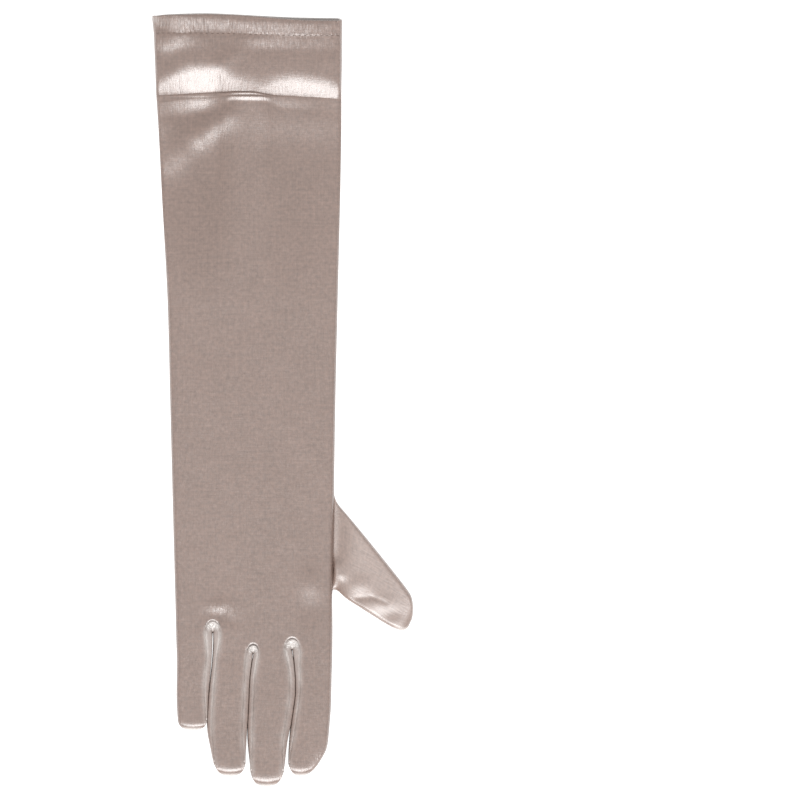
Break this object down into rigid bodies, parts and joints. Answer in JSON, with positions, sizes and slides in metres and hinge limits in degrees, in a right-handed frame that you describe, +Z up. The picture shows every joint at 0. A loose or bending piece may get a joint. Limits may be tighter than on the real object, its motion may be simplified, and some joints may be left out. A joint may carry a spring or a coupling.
{
  "type": "long satin evening glove",
  "caption": "Long stretch-satin glove for the right hand, lying back up: elbow-length sleeve with a turned hem, set-in thumb and side strips between the fingers.",
  "frame": {"origin": "on the surface that the glove lies on, below the middle of its outline", "axes": "+Y along the glove from the fingertips to the cuff, +X towards the thumb, +Z up from the palm to the back"},
  "size_m": [0.1486, 0.4406, 0.0127],
  "materials": {
    "satin": "taupe stretch satin, soft sheen, fine ribs along the glove",
    "thumb_satin": "the same satin, with its ribs along the thumb",
    "fourchette_satin": "the same satin, in narrow strips"
  },
  "bodies": {
    "root": {"trank": "satin", "thumb": "thumb_satin", "fourchette_little_ring": "fourchette_satin", "fourchette_ring_middle": "fourchette_satin", "fourchette_middle_index": "fourchette_satin"}
  },
  "joints": []
}
